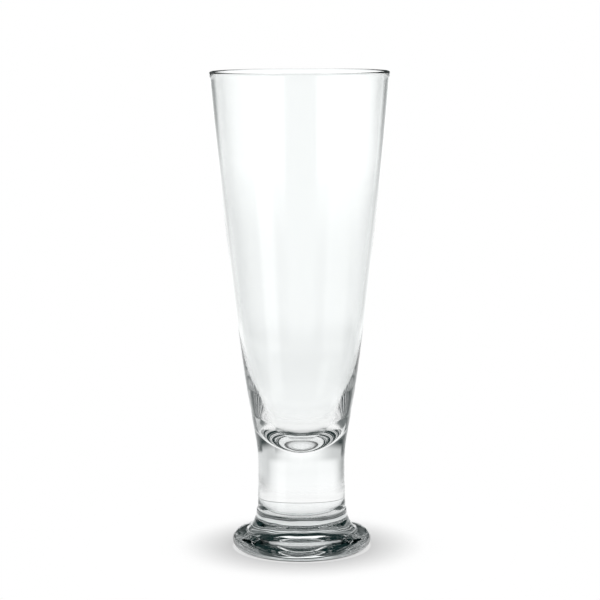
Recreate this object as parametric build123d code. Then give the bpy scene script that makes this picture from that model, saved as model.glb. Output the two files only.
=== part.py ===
from build123d import *
import math
import os

# A footed pilsner glass: a blown conical bowl, a solid stem and a pressed foot, welded hot, one on another.
# The origin is the middle of the face it rests on, +Z is up, and every length is in millimetres.

# Overall sizes
total_height = 220.0
rim_diameter = 81.8
foot_diameter = 64.6

# Bowl: the thickness of its fire-polished lip
lip_thickness = 1.8

# Bowl: outer diameters up the wall, as (share of the bowl's height, share of the rim diameter)
outer_gauge_shares = (
    (0.216, 0.622),
    (0.448, 0.750),
    (0.724, 0.889),
)

# Bowl: thickness of the wall at those gauges
wall_at_well = 3.0
wall_at_middle = 1.6
wall_at_upper = 1.5

# Bowl: the floor over the weld, and the rounded well up to the lowest gauge,
# as (share of the well's depth, share of the diameter of its mouth)
floor_thickness = 7.6
well_gauge_shares = (
    (0.107, 0.388),
    (0.335, 0.651),
    (0.602, 0.806),
)

# Waist: the narrowest place, where the bowl is welded to the stem
waist_height = 38.5
waist_diameter = 39.96
waist_radius_of_curve = 78.0
waist_taper = 9.9

# Stem: a solid shank that widens a little towards its weld on the foot
stem_foot_diameter = 41.0

# Foot: its collar stands a little proud of the stem and flares into a low dome with a rounded edge
collar_height = 18.0
collar_ledge = 0.35
collar_edge_chamfer = 0.3
flare_start_angle = 9.0
flare_end_angle = 52.0
dome_height = 7.7
dome_width = 6.5
dome_edge_angle = 77.0
edge_radius = 3.6

# Foot: the flat ring that it rests on, and the round hollow inside that ring
resting_ring_width = 11.0
hollow_depth = 3.0

# Straight runs that each small curve is turned in: the rings between them lie on the curve
well_run_count = 5
lip_run_count = 4
flare_run_count = 3
edge_run_count = 3
hollow_run_count = 2


def ring_point(diameter, height):
    """A point of an outline: its distance from the axis and its height."""
    return Vector(diameter / 2, 0, height)


def leaning(degrees):
    """The direction of a line that rises and leans away from the axis by an angle."""
    angle = math.radians(degrees)
    return Vector(math.sin(angle), 0, math.cos(angle))


def in_runs(curve, run_count):
    """A curve as a chain of straight runs between points that are spread evenly along it."""
    return Polyline(*[curve @ (step / run_count) for step in range(run_count + 1)])


def turned(outline):
    """The solid that an outline on the axis makes when it is turned through a whole circle."""
    edges = [edge for stretch in outline for edge in stretch.edges()]
    return revolve(make_face(Wire(edges)), Axis.Z)


def make_bowl():
    """The bowl from its weld at the waist to the lip: tapers between gauges, and a rounded well."""
    lip_radius = lip_thickness / 2
    lip_height = total_height - lip_radius
    weld_middle = Vector(0, 0, waist_height)
    weld_edge = ring_point(waist_diameter, waist_height)
    curve_angle = math.radians(waist_taper)
    curve_end = weld_edge + Vector(
        waist_radius_of_curve * (1 - math.cos(curve_angle)), 0, waist_radius_of_curve * math.sin(curve_angle)
    )
    waist_curve = TangentArc(weld_edge, curve_end, tangent=leaning(0))

    bowl_height = total_height - waist_height
    outer_gauges = [
        ring_point(width * rim_diameter, waist_height + rise * bowl_height)
        for rise, width in outer_gauge_shares
    ]
    lip_outside = ring_point(rim_diameter, lip_height)
    lip_inside = ring_point(rim_diameter - 2 * lip_thickness, lip_height)
    lip_top = ring_point(rim_diameter - lip_thickness, total_height)
    outer_wall = Polyline(curve_end, *outer_gauges, lip_outside)
    lip = ThreePointArc(lip_outside, lip_top, lip_inside)

    walls = (wall_at_upper, wall_at_middle, wall_at_well)
    inner_gauges = [
        outer - Vector(wall, 0, 0) for outer, wall in zip(reversed(outer_gauges), walls)
    ]
    floor_middle = Vector(0, 0, waist_height + floor_thickness)
    well_mouth = inner_gauges[-1] - floor_middle
    well = [
        floor_middle + Vector(width * well_mouth.X, 0, rise * well_mouth.Z)
        for rise, width in reversed(well_gauge_shares)
    ]
    inner_wall = Polyline(lip_inside, *inner_gauges)
    well_curve = Spline(inner_gauges[-1], *well, floor_middle, tangents=(inner_wall % 1, leaning(-90)))
    return turned(
        [
            Line(weld_middle, weld_edge),
            waist_curve,
            outer_wall,
            in_runs(lip, lip_run_count),
            inner_wall,
            in_runs(well_curve, well_run_count),
            Line(floor_middle, weld_middle),
        ]
    )


def make_stem():
    """The solid shank between the waist and the collar of the foot."""
    top = ring_point(waist_diameter, waist_height)
    bottom = ring_point(stem_foot_diameter, collar_height)
    top_middle = Vector(0, 0, waist_height)
    bottom_middle = Vector(0, 0, collar_height)
    return turned(
        [
            Line(top_middle, top),
            Line(top, bottom),
            Line(bottom, bottom_middle),
            Line(bottom_middle, top_middle),
        ]
    )


def make_foot():
    """The pressed foot: collar, flare, dome, rounded edge, resting ring and the hollow underneath."""
    collar_diameter = stem_foot_diameter + 2 * collar_ledge
    top_middle = Vector(0, 0, collar_height)
    shoulder_inside = ring_point(collar_diameter - 2 * collar_edge_chamfer, collar_height)
    shoulder_outside = ring_point(collar_diameter, collar_height - collar_edge_chamfer)

    flare_end = ring_point(foot_diameter - 2 * dome_width, dome_height)
    flare = Spline(
        shoulder_outside,
        flare_end,
        tangents=(leaning(180 - flare_start_angle), leaning(180 - flare_end_angle)),
    )

    edge_middle = ring_point(foot_diameter - 2 * edge_radius, edge_radius)
    edge_top = edge_middle + edge_radius * leaning(90 - dome_edge_angle)
    edge_outside = edge_middle + edge_radius * leaning(90)
    edge_bottom = edge_middle + edge_radius * leaning(180)
    edge_upper = TangentArc(edge_outside, edge_top, tangent=leaning(0))
    edge_lower = TangentArc(edge_bottom, edge_outside, tangent=leaning(90))

    ring_inside = edge_bottom - Vector(resting_ring_width, 0, 0)
    hollow_middle = Vector(0, 0, hollow_depth)
    hollow = TangentArc(hollow_middle, ring_inside, tangent=leaning(90))
    return turned(
        [
            Line(top_middle, shoulder_inside),
            Line(shoulder_inside, shoulder_outside),
            in_runs(flare, flare_run_count),
            Line(flare_end, edge_top),
            in_runs(edge_upper, edge_run_count),
            in_runs(edge_lower, edge_run_count),
            Line(edge_bottom, ring_inside),
            in_runs(hollow, hollow_run_count),
            Line(hollow_middle, top_middle),
        ]
    )


pieces = {"bowl": make_bowl(), "stem": make_stem(), "foot": make_foot()}

os.makedirs("parts", exist_ok=True)
for name, piece in pieces.items():
    export_step(piece, f"parts/{name}.step")
    box = piece.bounding_box()
    print(f"{name}: {piece.volume / 1000:.1f} ml of glass, from {box.min.Z:.2f} to {box.max.Z:.2f} mm")
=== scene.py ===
# %% [markdown]
# A footed pilsner glass is three lumps of hot glass joined end to end: a blown bowl, a short solid stem
# and a pressed foot. It could be drawn by eye over the photo, but then every size would have to be
# fitted afterwards. Here the solids that carry the glass are loaded first, and the sizes below are read
# from them or are the same as theirs. Lengths are in metres.

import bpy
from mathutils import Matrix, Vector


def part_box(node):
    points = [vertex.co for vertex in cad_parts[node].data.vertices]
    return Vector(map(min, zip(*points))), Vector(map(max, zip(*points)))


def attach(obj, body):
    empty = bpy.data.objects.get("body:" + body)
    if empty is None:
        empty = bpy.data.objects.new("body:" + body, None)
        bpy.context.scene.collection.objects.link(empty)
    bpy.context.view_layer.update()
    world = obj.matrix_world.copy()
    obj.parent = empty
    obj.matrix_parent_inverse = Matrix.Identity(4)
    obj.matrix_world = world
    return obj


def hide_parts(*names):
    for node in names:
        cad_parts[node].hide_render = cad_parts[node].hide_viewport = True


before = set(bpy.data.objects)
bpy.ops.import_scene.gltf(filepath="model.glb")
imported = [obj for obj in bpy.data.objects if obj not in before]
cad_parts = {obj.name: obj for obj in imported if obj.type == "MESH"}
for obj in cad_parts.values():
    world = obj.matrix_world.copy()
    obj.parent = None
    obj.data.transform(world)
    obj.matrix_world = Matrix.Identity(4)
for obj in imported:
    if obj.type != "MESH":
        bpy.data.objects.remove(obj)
print("solids:", sorted(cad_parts))

# %% [markdown]
# A box gives a solid's lowest and highest corner. A ruler in the viewport would show the same sizes, but
# a box that is read by the script stays right when the solids change.

# %% Boxes of the solids
import math

import bpy
import numpy as np
from mathutils import Matrix

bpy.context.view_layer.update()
FOOT_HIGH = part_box("foot")[1]
STEM_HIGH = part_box("stem")[1]
BOWL_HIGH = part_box("bowl")[1]
print("tops of the foot, stem and bowl:", [round(high.z, 4) for high in (FOOT_HIGH, STEM_HIGH, BOWL_HIGH)])

# %% [markdown]
# A glass is turned, so all of its form is in one outline, and its sizes are heights on the axis and
# distances from it. They could be measured off a picture one by one, but the solids already hold them:
# the height of each piece's top and its greatest radius are read from its box, and the rest are the
# sizes that the solids were made with.

# %% Driving sizes
TOTAL_HEIGHT = BOWL_HIGH.z
WAIST_HEIGHT = STEM_HIGH.z
COLLAR_HEIGHT = FOOT_HIGH.z
RIM_RADIUS = BOWL_HIGH.x
FOOT_RADIUS = FOOT_HIGH.x
STEM_FOOT_RADIUS = STEM_HIGH.x
WAIST_RADIUS = 0.01998

LIP_THICKNESS = 0.0018
WALL_AT_WELL = 0.0030
WALL_AT_MIDDLE = 0.0016
WALL_AT_UPPER = 0.0015
FLOOR_THICKNESS = 0.0076
WAIST_CURVE_RADIUS = 0.078
WAIST_TAPER = math.radians(9.9)
RIM_TAPER = math.radians(4.8)
STEM_TAPER = math.radians(4.0)

COLLAR_LEDGE = 0.00035
COLLAR_CHAMFER = 0.0003
FLARE_START_ANGLE = math.radians(9.0)
FLARE_END_ANGLE = math.radians(52.0)
DOME_HEIGHT = 0.0077
DOME_WIDTH = 0.0065
DOME_EDGE_ANGLE = math.radians(77.0)
EDGE_RADIUS = 0.0036
RESTING_RING_WIDTH = 0.011
HOLLOW_DEPTH = 0.003
print(f"height {TOTAL_HEIGHT:.4f} m, across the rim {2 * RIM_RADIUS:.4f} m")
print(f"across the stem {2 * STEM_FOOT_RADIUS:.4f} m, across the foot {2 * FOOT_RADIUS:.4f} m")

# %% [markdown]
# The photographer stood back with a long lens and looked down a little, so the rim shows as a thin
# ellipse and the foot as a wider one. A camera can be moved by eye until the picture fits, but those two
# ellipses say where it stood: its distance and height set how much they differ. The glass leans by a
# quarter of a degree in the picture, which is a small roll of the camera and not a fault of the glass.

# %% Camera
CAMERA_DISTANCE = 0.9285
CAMERA_HEIGHT = 0.2484
CAMERA_PITCH = math.radians(8.149)
CAMERA_ROLL = math.radians(-0.266)
SENSOR_WIDTH = 36.0
LENS_LENGTH = 122.59
FRAMING_SHIFT = -0.00104
NEAREST_SEEN = 0.05
FARTHEST_SEEN = 50.0


def place_object(name, data):
    """An object for some data, linked into the scene."""
    made = bpy.data.objects.new(name, data)
    bpy.context.collection.objects.link(made)
    return made


camera_data = bpy.data.cameras.new("camera")
camera_data.sensor_width = SENSOR_WIDTH
camera_data.lens = LENS_LENGTH
camera_data.shift_x = FRAMING_SHIFT
camera_data.clip_start = NEAREST_SEEN
camera_data.clip_end = FARTHEST_SEEN
camera = place_object("camera", camera_data)
camera.matrix_world = (
    Matrix.Translation((0, -CAMERA_DISTANCE, CAMERA_HEIGHT))
    @ Matrix.Rotation(math.radians(90) - CAMERA_PITCH, 4, "X")
    @ Matrix.Rotation(CAMERA_ROLL, 4, "Z")
)
bpy.context.scene.camera = camera
print("camera at", tuple(round(v, 4) for v in camera.location))

# %% [markdown]
# An outline is a list of places, each a distance from the axis and a height. It could be a Bezier curve
# with handles, but places that come from named sizes move with them. Straight parts need two places,
# round edges are arcs, and an outline is those parts one after another.

# %% Straight parts and arcs
SAME_PLACE = 1e-7


def leaning(angle):
    """The direction that rises and leans away from the axis by an angle."""
    return np.array((math.sin(angle), math.cos(angle)))


def straight(start, end, steps=1):
    """Places on a straight line."""
    return [np.array(start) + (np.array(end) - np.array(start)) * k / steps for k in range(steps + 1)]


def arc(centre, radius, first, last, steps):
    """Places on an arc between two angles, which are measured from straight away from the axis."""
    angles = np.linspace(first, last, steps + 1)
    return [np.array((centre[0] + radius * math.cos(a), centre[1] + radius * math.sin(a))) for a in angles]


def chain(*parts):
    """The parts of an outline one after another, without the places that repeat."""
    places = [np.array(parts[0][0], dtype=float)]
    for part in parts:
        for place in part:
            if np.linalg.norm(place - places[-1]) > SAME_PLACE:
                places.append(np.array(place, dtype=float))
    return places


print("a direction that leans by 30 degrees:", leaning(math.radians(30)).round(3))

# %% [markdown]
# The blown wall is one smooth curve through a few gauges. Arcs could be fitted between the gauges, but a
# wall of hot glass has no jump in slope or in bend, and a jump would show as a kink in every reflection.
# A cubic spline passes through every gauge without one. Its slopes at the gauges come from one small
# system of equations, which says that the bend is the same on both sides of each gauge.


# %% Smooth curve through gauges
def slopes_at_gauges(points, chord, start, end):
    """The slope of the spline at each gauge, leaving along start and arriving along end."""
    count = len(points)
    system = np.zeros((count, count))
    right = np.zeros((count, 2))
    system[0, 0] = system[-1, -1] = 1.0
    right[0] = start
    right[-1] = end
    for i in range(1, count - 1):
        before = chord[i - 1]
        after = chord[i]
        system[i, i - 1 : i + 2] = after, 2 * (before + after), before
        rise_before = (points[i] - points[i - 1]) / before
        rise_after = (points[i + 1] - points[i]) / after
        right[i] = 3 * (after * rise_before + before * rise_after)
    return np.linalg.solve(system, right)


def smooth_curve(gauges, start, end, steps):
    """Places on a cubic spline through the gauges, spread evenly along their chords."""
    points = np.array(gauges, dtype=float)
    chord = np.linalg.norm(np.diff(points, axis=0), axis=1)
    knots = np.concatenate(([0.0], np.cumsum(chord)))
    slopes = slopes_at_gauges(points, chord, start, end)
    places = []
    for t in np.linspace(0, knots[-1], steps + 1):
        i = min(int(np.searchsorted(knots, t, side="right")) - 1, len(points) - 2)
        h = chord[i]
        s = (t - knots[i]) / h
        places.append(
            (2 * s**3 - 3 * s**2 + 1) * points[i]
            + (s**3 - 2 * s**2 + s) * h * slopes[i]
            + (3 * s**2 - 2 * s**3) * points[i + 1]
            + (s**3 - s**2) * h * slopes[i + 1]
        )
    return places


print("places on a curve of 4 steps:", len(smooth_curve([(0, 0), (1, 1)], leaning(0), leaning(0), 4)))

# %% [markdown]
# The bowl starts on the axis at the weld, swings out of the waist in a long arc and climbs its gently
# bowed wall to the fire-polished lip. It could be blown up from a cylinder with a few edge loops, but a
# turned outline keeps the wall's thickness in one place: outside gauges are shares of the bowl's height
# and of the rim, and inside ones lie one wall thickness nearer the axis.

# %% Outside of the bowl
OUTER_GAUGE_SHARES = ((0.216, 0.622), (0.448, 0.750), (0.724, 0.889))
WAIST_STEPS = 16
OUTER_WALL_STEPS = 60
LIP_STEPS = 20

bowl_height = TOTAL_HEIGHT - WAIST_HEIGHT
lip_radius = LIP_THICKNESS / 2
lip_height = TOTAL_HEIGHT - lip_radius
outer_gauges = [
    (width * RIM_RADIUS, WAIST_HEIGHT + rise * bowl_height) for rise, width in OUTER_GAUGE_SHARES
]
waist_curve = arc(
    (WAIST_RADIUS + WAIST_CURVE_RADIUS, WAIST_HEIGHT),
    WAIST_CURVE_RADIUS,
    math.pi,
    math.pi - WAIST_TAPER,
    WAIST_STEPS,
)
outer_wall = smooth_curve(
    [waist_curve[-1], *outer_gauges, (RIM_RADIUS, lip_height)],
    leaning(WAIST_TAPER),
    leaning(RIM_TAPER),
    OUTER_WALL_STEPS,
)
lip = arc((RIM_RADIUS - lip_radius, lip_height), lip_radius, 0, math.pi, LIP_STEPS)
print("outside of the bowl:", len(waist_curve) + len(outer_wall) + len(lip), "places")

# %% [markdown]
# Inside, the wall comes down from the lip to a rounded well over a thick floor. The bottom of the well
# has faint rings, a few hundredths of a millimetre deep, and they draw the fine ellipses that show
# there. They could be a bump in the finish, but in the outline they bend the light as a real surface
# does. They fade out as the well rises, and the whole bowl is one closed chain.

# %% Inside of the bowl
WELL_GAUGE_SHARES = ((0.107, 0.388), (0.335, 0.651), (0.602, 0.806))
WELL_RING_DEPTH = 0.00003
WELL_RING_PITCH = 0.0023
WELL_RING_RISE = 0.004
INNER_WALL_STEPS = 260
TOWARDS_AXIS = np.array((-1.0, 0.0))

inner_gauges = [
    (outer[0] - wall, outer[1])
    for outer, wall in zip(reversed(outer_gauges), (WALL_AT_UPPER, WALL_AT_MIDDLE, WALL_AT_WELL))
]
floor_height = WAIST_HEIGHT + FLOOR_THICKNESS
well_depth = inner_gauges[-1][1] - floor_height
well_gauges = [
    (width * inner_gauges[-1][0], floor_height + rise * well_depth)
    for rise, width in reversed(WELL_GAUGE_SHARES)
]
inner_wall = smooth_curve(
    [(RIM_RADIUS - LIP_THICKNESS, lip_height), *inner_gauges, *well_gauges, (0.0, floor_height)],
    leaning(math.pi + RIM_TAPER),
    TOWARDS_AXIS,
    INNER_WALL_STEPS,
)
for place in inner_wall:
    share = 1 - min(max((place[1] - floor_height) / WELL_RING_RISE, 0.0), 1.0)
    place[1] -= WELL_RING_DEPTH * share * (1 - math.cos(2 * math.pi * place[0] / WELL_RING_PITCH)) / 2
bowl_outline = chain(
    straight((0.0, WAIST_HEIGHT), (WAIST_RADIUS, WAIST_HEIGHT)), waist_curve, outer_wall, lip, inner_wall
)
print("bowl outline:", len(bowl_outline), "places")

# %% [markdown]
# The stem is a solid shank, a shade wider at the bottom. A cylinder would do for its size, but the real
# one draws in a little as the hot glass is pulled, so its side is a smooth curve that comes upright at
# the waist.

# %% Stem outline
STEM_STEPS = 24

stem_side = smooth_curve(
    [(STEM_FOOT_RADIUS, COLLAR_HEIGHT), (WAIST_RADIUS, WAIST_HEIGHT)],
    leaning(-STEM_TAPER),
    leaning(0.0),
    STEM_STEPS,
)
stem_outline = chain(
    straight((0.0, COLLAR_HEIGHT), (STEM_FOOT_RADIUS, COLLAR_HEIGHT)),
    stem_side,
    straight((WAIST_RADIUS, WAIST_HEIGHT), (0.0, WAIST_HEIGHT)),
)
print("stem outline:", len(stem_outline), "places")

# %% [markdown]
# The foot is pressed in a mould. Its collar stands a hair proud of the stem, which shows as a fine dark
# ring. Below the collar it flares into a low dome with a round edge, stands on a flat ring, and is
# hollowed a little underneath so that it can't rock. Its edge could be a bevel, but an arc keeps the
# true radius all round, and that radius draws the bright rim of the foot.

# %% Foot outline
HOLLOW_STEPS = 60
EDGE_STEPS = 40
DOME_STEPS = 8
FLARE_STEPS = 30

collar_radius = STEM_FOOT_RADIUS + COLLAR_LEDGE
edge_centre = np.array((FOOT_RADIUS - EDGE_RADIUS, EDGE_RADIUS))
dome_top = edge_centre + EDGE_RADIUS * leaning(math.radians(90) - DOME_EDGE_ANGLE)
flare_end = (FOOT_RADIUS - DOME_WIDTH, DOME_HEIGHT)
shoulder_outside = (collar_radius, COLLAR_HEIGHT - COLLAR_CHAMFER)
shoulder_inside = (collar_radius - COLLAR_CHAMFER, COLLAR_HEIGHT)
ring_inside = FOOT_RADIUS - EDGE_RADIUS - RESTING_RING_WIDTH
hollow_radius = (ring_inside**2 + HOLLOW_DEPTH**2) / (2 * HOLLOW_DEPTH)
hollow_angle = math.asin(ring_inside / hollow_radius)

hollow = arc(
    (0.0, HOLLOW_DEPTH - hollow_radius),
    hollow_radius,
    math.radians(90),
    math.radians(90) - hollow_angle,
    HOLLOW_STEPS,
)
resting_ring = straight((ring_inside, 0.0), (FOOT_RADIUS - EDGE_RADIUS, 0.0))
edge = arc(edge_centre, EDGE_RADIUS, math.radians(-90), DOME_EDGE_ANGLE, EDGE_STEPS)
dome = straight(dome_top, flare_end, DOME_STEPS)
flare = smooth_curve(
    [flare_end, shoulder_outside],
    -leaning(math.pi - FLARE_END_ANGLE),
    -leaning(math.pi - FLARE_START_ANGLE),
    FLARE_STEPS,
)
shoulder = straight(shoulder_outside, shoulder_inside)
weld_face = straight((STEM_FOOT_RADIUS, COLLAR_HEIGHT), (0.0, COLLAR_HEIGHT))
foot_outline = chain(hollow, resting_ring, edge, dome, flare, shoulder, weld_face)
print("foot outline:", len(foot_outline), "places")

# %% [markdown]
# Node trees do the turning and the finishes. A tree can be wired by hand in its editor, but one that a
# script wires can be read, checked and run again. Three small helpers keep that short: one fills or
# links a socket, one adds a node, and one does a sum.


# %% Helpers for node trees
def put(tree, socket, value):
    """Links another node's output to a socket, or gives the socket a plain value."""
    if isinstance(value, bpy.types.NodeSocket):
        tree.links.new(value, socket)
    else:
        socket.default_value = value


def add(tree, kind, inputs=None, **settings):
    """A new node with its settings, and with values or links in the inputs that are named."""
    node = tree.nodes.new(kind)
    for name, value in settings.items():
        setattr(node, name, value)
    for name, value in (inputs or {}).items():
        put(tree, node.inputs[name], value)
    return node


def calc(tree, operation, *values):
    """The result of a Math node, from plain numbers and other nodes' outputs."""
    node = add(tree, "ShaderNodeMath", operation=operation)
    for socket, value in zip(node.inputs, values):
        put(tree, socket, value)
    return node.outputs[0]


print("helpers:", put.__name__, add.__name__, calc.__name__)

# %% [markdown]
# A lathe spins the work past a shaped edge, and a small node tree can do the same. The Spin tool would
# do it too, but the tree keeps its sizes as named inputs, so the number of steps round can be changed
# and the three pieces are turned alike. Its first part lays out a grid with one row for each place of
# the outline and one column for each step round the axis, swings each column to its angle, and merges
# the last column with the first, and all the places on the axis with each other.

# %% Lathe: inputs and the swing
LATHE_INPUTS = {
    "Outline": "NodeSocketGeometry",
    "Steps Round": "NodeSocketInt",
    "Sharp Angle": "NodeSocketFloat",
    "Low Weld Height": "NodeSocketFloat",
    "Low Weld Radius": "NodeSocketFloat",
    "High Weld Height": "NodeSocketFloat",
    "High Weld Radius": "NodeSocketFloat",
    "Wave Depth": "NodeSocketFloat",
    "Waves Per Metre": "NodeSocketFloat",
    "Wave Bottom": "NodeSocketFloat",
    "Wave Top": "NodeSocketFloat",
    "Wall Finish": "NodeSocketMaterial",
    "Weld Finish": "NodeSocketMaterial",
}
HALF_A_PLACE = 0.5


def swung_outline(tree, given):
    """The closed surface that the outline sweeps when it is swung once round the Z axis."""
    position = add(tree, "GeometryNodeInputPosition").outputs[0]
    places = add(tree, "GeometryNodeAttributeDomainSize", {"Geometry": given["Outline"]}, component="MESH")
    place_count = places.outputs["Point Count"]
    column_count = calc(tree, "ADD", given["Steps Round"], 1)
    grid = add(tree, "GeometryNodeMeshGrid", {"Vertices X": column_count, "Vertices Y": place_count})

    # Half a place is added so that rounding can't put a place into the column before its own.
    index = add(tree, "GeometryNodeInputIndex").outputs[0]
    column = calc(tree, "FLOOR", calc(tree, "DIVIDE", calc(tree, "ADD", index, HALF_A_PLACE), place_count))
    row = calc(tree, "SUBTRACT", index, calc(tree, "MULTIPLY", column, place_count))
    angle = calc(tree, "MULTIPLY", calc(tree, "DIVIDE", column, given["Steps Round"]), 2 * math.pi)
    sample_inputs = {"Geometry": given["Outline"], "Value": position, "Index": row}
    sample = add(tree, "GeometryNodeSampleIndex", sample_inputs, data_type="FLOAT_VECTOR", domain="POINT")
    place = add(tree, "ShaderNodeSeparateXYZ", {0: sample.outputs["Value"]}).outputs
    along_x = calc(tree, "MULTIPLY", place["X"], calc(tree, "COSINE", angle))
    along_y = calc(tree, "MULTIPLY", place["X"], calc(tree, "SINE", angle))
    swung = add(tree, "ShaderNodeCombineXYZ", {"X": along_x, "Y": along_y, "Z": place["Z"]}).outputs[0]
    moved = add(tree, "GeometryNodeSetPosition", {"Geometry": grid.outputs["Mesh"], "Position": swung})
    closing = {"Geometry": moved.outputs[0], "Distance": SAME_PLACE}
    return add(tree, "GeometryNodeMergeByDistance", closing).outputs[0]


print("inputs of the lathe:", len(LATHE_INPUTS))

# %% [markdown]
# A pressed foot is never quite true: it keeps slow waves from the mould and from the tongs, and they
# break the light in its thick body into patches. A bump in the finish would bend the light but leave the
# form true, so the waves are in the shape, sunk along the surface's own direction. They fade out at the
# flat face below and at the weld above, where the pieces have to meet. The bowl and the stem go through
# with a depth of nought.

# %% Lathe: pressed waves
WAVE_FADE = 0.003
WAVE_DETAIL = 1.5


def pressed_waves(tree, given, surface):
    """The surface sunk in slow waves, from nothing to the whole depth."""
    position = add(tree, "GeometryNodeInputPosition").outputs[0]
    height = add(tree, "ShaderNodeSeparateXYZ", {0: position}).outputs["Z"]
    above_bottom = calc(tree, "DIVIDE", calc(tree, "SUBTRACT", height, given["Wave Bottom"]), WAVE_FADE)
    below_top = calc(tree, "DIVIDE", calc(tree, "SUBTRACT", given["Wave Top"], height), WAVE_FADE)
    nearest = calc(tree, "MINIMUM", above_bottom, below_top)
    share = calc(tree, "MINIMUM", calc(tree, "MAXIMUM", nearest, 0.0), 1.0)
    wave_inputs = {"Vector": position, "Scale": given["Waves Per Metre"], "Detail": WAVE_DETAIL}
    wave = add(tree, "ShaderNodeTexNoise", wave_inputs).outputs["Fac"]
    sunk = calc(tree, "MULTIPLY", calc(tree, "SUBTRACT", wave, 1.0), given["Wave Depth"])
    outwards = add(tree, "GeometryNodeInputNormal").outputs[0]
    offset_inputs = {0: outwards, "Scale": calc(tree, "MULTIPLY", sunk, share)}
    offset = add(tree, "ShaderNodeVectorMath", operation="SCALE", inputs=offset_inputs).outputs["Vector"]
    return add(tree, "GeometryNodeSetPosition", {"Geometry": surface, "Offset": offset}).outputs[0]


print(f"the waves fade over {1000 * WAVE_FADE:.0f} mm")

# %% [markdown]
# The walls have to shade as one smooth surface, and the welds and the resting ring as flat faces with a
# true edge. A bevel on each edge would do that with more faces, and an angle that parts smooth edges
# from sharp ones does it with none.

# %% Lathe: smooth walls and sharp edges
SHARP_ANGLE = math.radians(30)


def smoothed(tree, given, surface):
    """The surface shaded smooth, but for the edges that bend by more than the sharp angle."""
    faces = add(tree, "GeometryNodeSetShadeSmooth", {"Geometry": surface}, domain="FACE")
    bend = add(tree, "GeometryNodeInputMeshEdgeAngle").outputs["Unsigned Angle"]
    gentle = calc(tree, "LESS_THAN", bend, given["Sharp Angle"])
    edge_inputs = {"Geometry": faces.outputs[0], "Shade Smooth": gentle}
    return add(tree, "GeometryNodeSetShadeSmooth", edge_inputs, domain="EDGE").outputs[0]


print(f"sharp from {math.degrees(SHARP_ANGLE):.0f} degrees")

# %% [markdown]
# At a weld one piece of glass runs on into the next, so there is no surface for the light to meet. The
# faces could be left out, but then no piece would be closed. They get a finish of their own instead:
# the tree picks them by their height and by lying inside the weld's radius. That is the lathe's last
# part, so the whole tree is built here.

# %% Lathe: finishes of walls and welds
WELD_TOLERANCE = 0.00001


def finished(tree, given, surface):
    """The wall's finish everywhere, and then the weld's finish on the flat faces of the two welds."""
    position = add(tree, "GeometryNodeInputPosition").outputs[0]
    middle = add(tree, "ShaderNodeSeparateXYZ", {0: position}).outputs
    squares = [calc(tree, "MULTIPLY", middle[side], middle[side]) for side in ("X", "Y")]
    radius = calc(tree, "SQRT", calc(tree, "ADD", *squares))

    def on_weld(which):
        at_height = calc(tree, "COMPARE", middle["Z"], given[f"{which} Weld Height"], WELD_TOLERANCE)
        inside = calc(tree, "LESS_THAN", radius, given[f"{which} Weld Radius"])
        return calc(tree, "MULTIPLY", at_height, inside)

    real = add(tree, "GeometryNodeRealizeInstances", {0: surface}).outputs[0]
    wall_inputs = {"Geometry": real, "Material": given["Wall Finish"]}
    wall = add(tree, "GeometryNodeSetMaterial", wall_inputs).outputs[0]
    welds = calc(tree, "ADD", on_weld("Low"), on_weld("High"))
    weld_inputs = {"Geometry": wall, "Selection": welds, "Material": given["Weld Finish"]}
    return add(tree, "GeometryNodeSetMaterial", weld_inputs).outputs[0]


def build_lathe():
    """A node tree that turns a chain of points round the Z axis and gives walls and welds a finish."""
    tree = bpy.data.node_groups.new("lathe", "GeometryNodeTree")
    for name, kind in LATHE_INPUTS.items():
        tree.interface.new_socket(name, in_out="INPUT", socket_type=kind)
    tree.interface.new_socket("Turned", in_out="OUTPUT", socket_type="NodeSocketGeometry")
    given = add(tree, "NodeGroupInput").outputs
    surface = swung_outline(tree, given)
    surface = pressed_waves(tree, given, surface)
    surface = smoothed(tree, given, surface)
    add(tree, "NodeGroupOutput", {"Turned": finished(tree, given, surface)})
    return tree


lathe = build_lathe()
print("lathe nodes:", len(lathe.nodes))

# %% [markdown]
# Clear soda-lime glass bends light by an index of about 1.52 and takes a trace of colour from the iron
# in its sand, which only shows where the light has a long way to go. A volume inside the glass could
# carry that colour, but it is slow to render, so a faint tint at each pass through the surface stands
# for it. Hot work also leaves the surface slightly uneven, by a hundredth of a millimetre. That is too
# little to show in an edge, so here a bump is enough.

# %% Finishes of the glass
GLASS_INDEX = 1.52
BLOWN_TINT = (0.985, 0.992, 0.990)
PRESSED_TINT = (0.955, 0.985, 0.985)
RIPPLES_PER_METRE = 55.0
RIPPLE_DETAIL = 1.0
RIPPLE_DEPTH = 0.00001


def glass_finish(name, tint):
    """Clear glass: a faint tint at each pass through its surface, and the slight unevenness of hot work."""
    finish = bpy.data.materials.new(name)
    finish.use_nodes = True
    tree = finish.node_tree
    shader = tree.nodes["Principled BSDF"]
    shader.inputs["Base Color"].default_value = (*tint, 1.0)
    shader.inputs["Roughness"].default_value = 0.0
    shader.inputs["IOR"].default_value = GLASS_INDEX
    shader.inputs["Transmission Weight"].default_value = 1.0
    place = add(tree, "ShaderNodeTexCoord").outputs["Object"]
    uneven_inputs = {"Vector": place, "Scale": RIPPLES_PER_METRE, "Detail": RIPPLE_DETAIL}
    unevenness = add(tree, "ShaderNodeTexNoise", uneven_inputs).outputs["Fac"]
    ripple = add(tree, "ShaderNodeBump", {"Height": unevenness, "Strength": 1.0, "Distance": RIPPLE_DEPTH})
    put(tree, shader.inputs["Normal"], ripple.outputs[0])
    return finish


blown_glass = glass_finish("blown_glass", BLOWN_TINT)
pressed_glass = glass_finish("pressed_glass", PRESSED_TINT)
print("finishes:", blown_glass.name, pressed_glass.name)

# %% [markdown]
# The welds let the light through untouched. Clear glass with an index of one would do the same at the
# cost of one more bounce, and a Transparent shader does it without.


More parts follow.
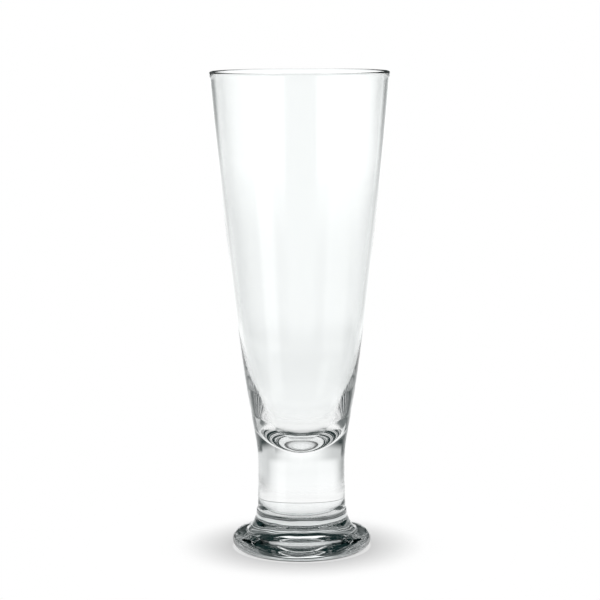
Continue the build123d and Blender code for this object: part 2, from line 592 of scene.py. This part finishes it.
# %% Finish of the welds
def bare_finish(name):
    """A material with no shader yet, its node tree, and the socket that its shader goes to."""
    finish = bpy.data.materials.new(name)
    finish.use_nodes = True
    tree = finish.node_tree
    tree.nodes.remove(tree.nodes["Principled BSDF"])
    return finish, tree, tree.nodes["Material Output"].inputs["Surface"]


weld_inside, weld_tree, weld_surface = bare_finish("weld_inside")
put(weld_tree, weld_surface, add(weld_tree, "ShaderNodeBsdfTransparent").outputs[0])
print("finish:", weld_inside.name)

# %% [markdown]
# Each outline becomes a chain of points, goes through the lathe and comes out as a plain mesh. The
# modifier could be left live, but a plain mesh is what the part is exported with. The piece then stands
# for its solid, which is hidden, and moves with the glass's one body.

# %% Turning one piece
WAVES_PER_METRE = 90.0


def outline_object(name, places):
    """A chain of points and edges in the plane of the X and Z axes."""
    mesh = bpy.data.meshes.new(name + "_outline")
    points = [(place[0], 0.0, place[1]) for place in places]
    mesh.from_pydata(points, [(i, i + 1) for i in range(len(points) - 1)], [])
    return place_object(name + "_outline", mesh)


def without_empty_slot(mesh):
    """Takes away the empty material slot that the grid brings with it."""
    if mesh.materials[0] is None:
        face_finishes = np.empty(len(mesh.polygons), dtype=np.int32)
        mesh.polygons.foreach_get("material_index", face_finishes)
        mesh.materials.pop(index=0)
        mesh.polygons.foreach_set("material_index", face_finishes - 1)


def turn(name, node, places, steps_round, low_weld, high_weld, finish, wave_depth=0.0):
    """A piece of glass turned from its outline, in place of a solid."""
    source = outline_object(name, places)
    modifier = source.modifiers.new("lathe", "NODES")
    modifier.node_group = lathe
    values = {
        "Steps Round": steps_round,
        "Sharp Angle": SHARP_ANGLE,
        "Low Weld Height": low_weld[0],
        "Low Weld Radius": low_weld[1],
        "High Weld Height": high_weld[0],
        "High Weld Radius": high_weld[1],
        "Wave Depth": wave_depth,
        "Waves Per Metre": WAVES_PER_METRE,
        "Wave Bottom": 0.0,
        "Wave Top": COLLAR_HEIGHT - COLLAR_CHAMFER,
        "Wall Finish": finish,
        "Weld Finish": weld_inside,
    }
    for item in lathe.interface.items_tree:
        if item.in_out == "INPUT" and item.name in values:
            modifier[item.identifier] = values[item.name]
    evaluated = source.evaluated_get(bpy.context.evaluated_depsgraph_get())
    mesh = bpy.data.meshes.new_from_object(evaluated)
    mesh.name = name
    without_empty_slot(mesh)
    source.modifiers.remove(modifier)
    bpy.data.objects.remove(source)
    piece = place_object(name, mesh)
    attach(piece, "root")
    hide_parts(node)
    triangles = sum(len(face.vertices) - 2 for face in mesh.polygons)
    print(f"{name}: {triangles} triangles, finishes {[m.name for m in mesh.materials]}")


print("waves of the foot:", WAVES_PER_METRE, "to the metre")

# %% [markdown]
# A weld is given by its height and its radius. A piece's free end has no weld, so its height is put
# where there is no glass. The bowl has the longest outline, and it could take as many steps round as the
# others, but with fewer its triangles stay under 200,000. With 256 steps a straight side of its rim is
# three thousandths of a millimetre off the true circle.

# %% The three pieces
WAIST_WELD = (WAIST_HEIGHT, WAIST_RADIUS)
COLLAR_WELD = (COLLAR_HEIGHT, STEM_FOOT_RADIUS)
NO_WELD = (-1.0, 0.0)
BOWL_STEPS_ROUND = 256
STEPS_ROUND = 360
WAVE_DEPTH = 0.0004

turn("blown_bowl", "bowl", bowl_outline, BOWL_STEPS_ROUND, WAIST_WELD, NO_WELD, blown_glass)
turn("solid_stem", "stem", stem_outline, STEPS_ROUND, COLLAR_WELD, WAIST_WELD, blown_glass)
turn("pressed_foot", "foot", foot_outline, STEPS_ROUND, NO_WELD, COLLAR_WELD, pressed_glass, WAVE_DEPTH)

# %% [markdown]
# The glass stands on a white sheet. Part of the sheet's white is a glow of its own, and the rest is
# light from the room and from one lamp straight above, which the bowl shades. Under the glass the glow
# is painted light and painted shade: a painted pool of light in the middle, where the solid stem leads
# light down, a painted shadow under the foot's body, which keeps light out, and a thin painted bright
# ring where the rounded edge gathers light. A renderer can find that light by itself, but only with very
# many samples, so the painted glow follows the distance from the axis instead. Each pair below is a
# distance and the glow's level there.

# %% Glow of the sheet, with painted light and shade under the glass
# Painted light and shade: a painted pool of light in the middle, a painted shadow under the foot and a
# painted bright ring at its edge.
SHEET_GLOW_AND_PAINTED_LIGHT_AND_SHADE = (
    (0.0, 0.9),
    (0.012, 0.85),
    (0.020, 0.65),
    (0.025, 0.1),
    (0.0292, 0.0),
    (0.0300, 0.6),
    (0.0316, 0.6),
    (0.0326, 0.4),
)


def sheet_glow_and_painted_light_and_shade(tree, reach):
    """The sheet's glow by distance from the axis: painted light and painted shade under the glass."""
    widest = SHEET_GLOW_AND_PAINTED_LIGHT_AND_SHADE[-1][0]
    ramp = add(tree, "ShaderNodeValToRGB", {"Fac": calc(tree, "DIVIDE", reach, widest)})
    stops = ramp.color_ramp.elements
    stops.remove(stops[-1])
    for number, (radius, level) in enumerate(SHEET_GLOW_AND_PAINTED_LIGHT_AND_SHADE):
        stop = stops[0] if number == 0 else stops.new(radius / widest)
        stop.position = radius / widest
        stop.color = (level, level, level, 1.0)
    return ramp.outputs["Color"]


print("glow of the sheet:", len(SHEET_GLOW_AND_PAINTED_LIGHT_AND_SHADE), "rings, out to", SHEET_GLOW_AND_PAINTED_LIGHT_AND_SHADE[-1][0], "m")

# %% [markdown]
# A hair of air is left under the foot. Glass that touches the sheet outright would let its light
# straight in, and the dark body of the foot, which comes from light trapped under it, would be lost.
# Past the shadow the sheet fades out and the white of the world takes over. A sheet as wide as the
# picture would need its edge hidden, and one that fades has none.

# %% Floor
FLOOR_RADIUS = 0.13
FLOOR_FADE_START = 0.07
FLOOR_STEPS = 96
FLOOR_GAP = 0.00005
FLOOR_PAINT = 0.35


def blend(tree, value, start, end, low, high, interpolation="SMOOTHSTEP"):
    """A number that goes from low to high while the value goes from start to end."""
    limits = {"Value": value, "From Min": start, "From Max": end, "To Min": low, "To Max": high}
    return add(tree, "ShaderNodeMapRange", limits, interpolation_type=interpolation).outputs["Result"]


def floor_finish():
    """White paint with a glow of its own, painted light and shade under the glass, fading out past the
    shadow.
    """
    finish, tree, surface = bare_finish("white_sheet")
    place = add(tree, "ShaderNodeTexCoord").outputs["Object"]
    reach = add(tree, "ShaderNodeVectorMath", {0: place}, operation="LENGTH").outputs["Value"]
    paint = add(tree, "ShaderNodeBsdfDiffuse", {"Color": (FLOOR_PAINT, FLOOR_PAINT, FLOOR_PAINT, 1.0)})
    # The glow paints light and shade under the glass: a pool of light, a shadow under the foot and a bright
    # ring.
    glow = add(tree, "ShaderNodeEmission", {"Color": sheet_glow_and_painted_light_and_shade(tree, reach)})
    both = add(tree, "ShaderNodeAddShader", {0: paint.outputs[0], 1: glow.outputs[0]})
    clear = add(tree, "ShaderNodeBsdfTransparent")
    gone = blend(tree, reach, FLOOR_FADE_START, FLOOR_RADIUS, 0.0, 1.0)
    sheet = add(tree, "ShaderNodeMixShader", {"Fac": gone, 1: both.outputs[0], 2: clear.outputs[0]})
    put(tree, surface, sheet.outputs[0])
    return finish


floor_mesh = bpy.data.meshes.new("floor")
turns = [2 * math.pi * k / FLOOR_STEPS for k in range(FLOOR_STEPS)]
floor_mesh.from_pydata(
    [(FLOOR_RADIUS * math.cos(a), FLOOR_RADIUS * math.sin(a), -FLOOR_GAP) for a in turns],
    [],
    [tuple(range(FLOOR_STEPS))],
)
floor_mesh.materials.append(floor_finish())
floor = place_object("floor", floor_mesh)
print("floor:", 2 * FLOOR_RADIUS, "m across")

# %% [markdown]
# Clear glass has no colour of its own: it shows what stands round it. Photographers put a white sheet
# behind a glass, greyer walls beside it and a dark room above, so that the sheet fills the middle of the
# glass and the rest draws its edges. Separate planes could stand for them, but soft edges and overlaps
# are easier on one large shell that holds them all as cards, each over the ones before it. A card's
# place is given as a photographer would point at it from the glass: degrees to the right of straight
# behind, and degrees above the horizon. Its level is its brightness, and one is white. The dark room has
# a faint haze of teal, which the darkest parts of the glass show.

# %% Cards of the studio
SHELL_RADIUS = 4.0
DARK_ROOM = 0.004
DARK_TINT = (0.2, 1.0, 1.0, 1.0)
DARK_TINT_LEVEL = 0.016
CARDS = {
    "table": {"across": (-200, 200), "up": (-100, -7), "soft": (1, 5, 6), "level": 0.2},
    "table_behind": {"across": (-54, 43), "up": (-100, -6), "soft": (40, 5, 6), "level": 1.0},
    "left_wall": {"across": (-56, 2), "up": (-9, -1), "soft": (8, 4, 6), "level": 0.68},
    "right_wall": {"across": (2, 52), "up": (-9, -1), "soft": (8, 4, 6), "level": 0.66},
    "far_right_wall": {"across": (41, 110), "up": (-14, -4), "soft": (11, 3, 3), "level": 0.75},
    "gap_on_the_right": {"across": (14, 26), "up": (-5, 2), "soft": (3, 3, 3), "level": 0.35},
    "foot_of_the_sheet": {"across": (-19, 18), "up": (-10, -2), "soft": (28, 8, 4), "level": 1.09},
    "white_sheet_behind": {"across": (-18, 18), "up": (-3.5, 4), "soft": (8, 4, 5), "level": 1.25},
    "middle_of_the_sheet": {"across": (-0.85, 0.95), "up": (-8, 4), "soft": (0.4, 8, 5), "level": 1.12},
    "overhead_ring": {"across": (-200, 200), "up": (66, 73), "soft": (1, 3, 3), "level": 0.9},
    "overhead_behind": {"across": (-40, 40), "up": (52, 68), "soft": (9, 3, 3), "level": 1.3},
    "left_lamp_box": {"across": (-58, -12), "up": (9, 26), "soft": (8, 5, 5), "level": 0.3},
    "right_lamp_box": {"across": (12, 58), "up": (8, 24), "soft": (8, 5, 5), "level": 0.2},
    "table_left_of_camera": {"across": (-138, -112), "up": (-26, -7), "soft": (10, 4, 4), "level": 1.1},
    "table_right_of_camera": {"across": (91, 137), "up": (-24, -7), "soft": (10, 4, 4), "level": 0.65},
}
print("cards:", len(CARDS))

# %% [markdown]
# The shell's finish works out the two angles of each of its places and lays card over card by them. A
# painted picture round the shell would do the same, but then a card could not be moved by one number.
# A card's softness has three widths: its sides, its bottom edge and its top edge.


# %% Finish of the shell
def between(tree, value, limits, soft_low, soft_high):
    """One inside the limits and nought outside them, with soft edges."""
    low, high = limits
    after_low = blend(tree, value, low - soft_low / 2, low + soft_low / 2, 0.0, 1.0)
    before_high = blend(tree, value, high - soft_high / 2, high + soft_high / 2, 1.0, 0.0)
    return calc(tree, "MULTIPLY", after_low, before_high)


def shell_finish():
    """Light that changes with the direction it comes from, card over card."""
    finish, tree, surface = bare_finish("studio_walls")
    place = add(tree, "ShaderNodeTexCoord").outputs["Object"]
    split = add(tree, "ShaderNodeSeparateXYZ", {0: place}).outputs
    across = calc(tree, "DEGREES", calc(tree, "ARCTAN2", split["X"], split["Y"]))
    up = calc(tree, "DEGREES", calc(tree, "ARCSINE", calc(tree, "DIVIDE", split["Z"], SHELL_RADIUS)))
    level = DARK_ROOM
    for card in CARDS.values():
        soft_sides, soft_bottom, soft_top = card["soft"]
        wide = between(tree, across, card["across"], soft_sides, soft_sides)
        tall = between(tree, up, card["up"], soft_bottom, soft_top)
        level = blend(tree, calc(tree, "MULTIPLY", wide, tall), 0.0, 1.0, level, card["level"], "LINEAR")
    light = add(tree, "ShaderNodeEmission", {"Strength": level})
    haze = add(tree, "ShaderNodeEmission", {"Color": DARK_TINT, "Strength": DARK_TINT_LEVEL})
    both = add(tree, "ShaderNodeAddShader", {0: light.outputs[0], 1: haze.outputs[0]})
    put(tree, surface, both.outputs[0])
    return finish


studio_walls = shell_finish()
print("nodes in the shell's finish:", len(studio_walls.node_tree.nodes))

# %% [markdown]
# The shell turns with the camera, as if the glass stood on a turntable in a fixed studio. Only the glass
# can see it: the camera sees the white world past it, and it lights nothing else.

# %% Studio shell
SHELL_SEGMENTS = 96
SHELL_RINGS = 48

bpy.ops.mesh.primitive_uv_sphere_add(segments=SHELL_SEGMENTS, ring_count=SHELL_RINGS, radius=SHELL_RADIUS)
shell = bpy.context.active_object
shell.name = "studio_shell"
shell.data.materials.append(studio_walls)
shell.visible_camera = False
shell.visible_diffuse = False
shell.visible_shadow = False
shell.parent = camera
shell.matrix_parent_inverse = camera.matrix_world.inverted()
print("shell:", 2 * SHELL_RADIUS, "m across")

# %% [markdown]
# The world is plain white at a strength of one. The lamp hangs straight above the glass and lights the
# sheet alone. A sun lamp would do too, but this one is sized as a studio lamp is: its width against its
# height sets how soft the edge of the bowl's shadow is.

# %% World and lamp
WHITE = (1.0, 1.0, 1.0, 1.0)
LAMP_HEIGHT = 2.0
LAMP_WIDTH = 0.2
LAMP_POWER = 33.0

world = bpy.data.worlds.new("white_room")
bpy.context.scene.world = world
world.use_nodes = True
background = world.node_tree.nodes["Background"]
background.inputs["Color"].default_value = WHITE
background.inputs["Strength"].default_value = 1.0

lamp_data = bpy.data.lights.new("overhead_lamp", "AREA")
lamp_data.shape = "DISK"
lamp_data.size = LAMP_WIDTH
lamp_data.energy = LAMP_POWER
lamp = place_object("overhead_lamp", lamp_data)
lamp.location = (0.0, 0.0, LAMP_HEIGHT)
lamp.visible_camera = False
lamp.visible_glossy = False
lamp.visible_transmission = False
print("lamp:", LAMP_POWER, "W at", LAMP_HEIGHT, "m")

# %% [markdown]
# Light goes in and out of a thick glass many times before it leaves. With the usual limit on bounces the
# foot and the well would fill with black, so the limits are raised.

# %% View settings
GLASS_BOUNCES = 32
GLOSSY_BOUNCES = 24

scene = bpy.context.scene
scene.view_settings.view_transform = "Standard"
scene.cycles.max_bounces = GLASS_BOUNCES
scene.cycles.transmission_bounces = GLASS_BOUNCES
scene.cycles.glossy_bounces = GLOSSY_BOUNCES
scene.cycles.transparent_max_bounces = GLASS_BOUNCES
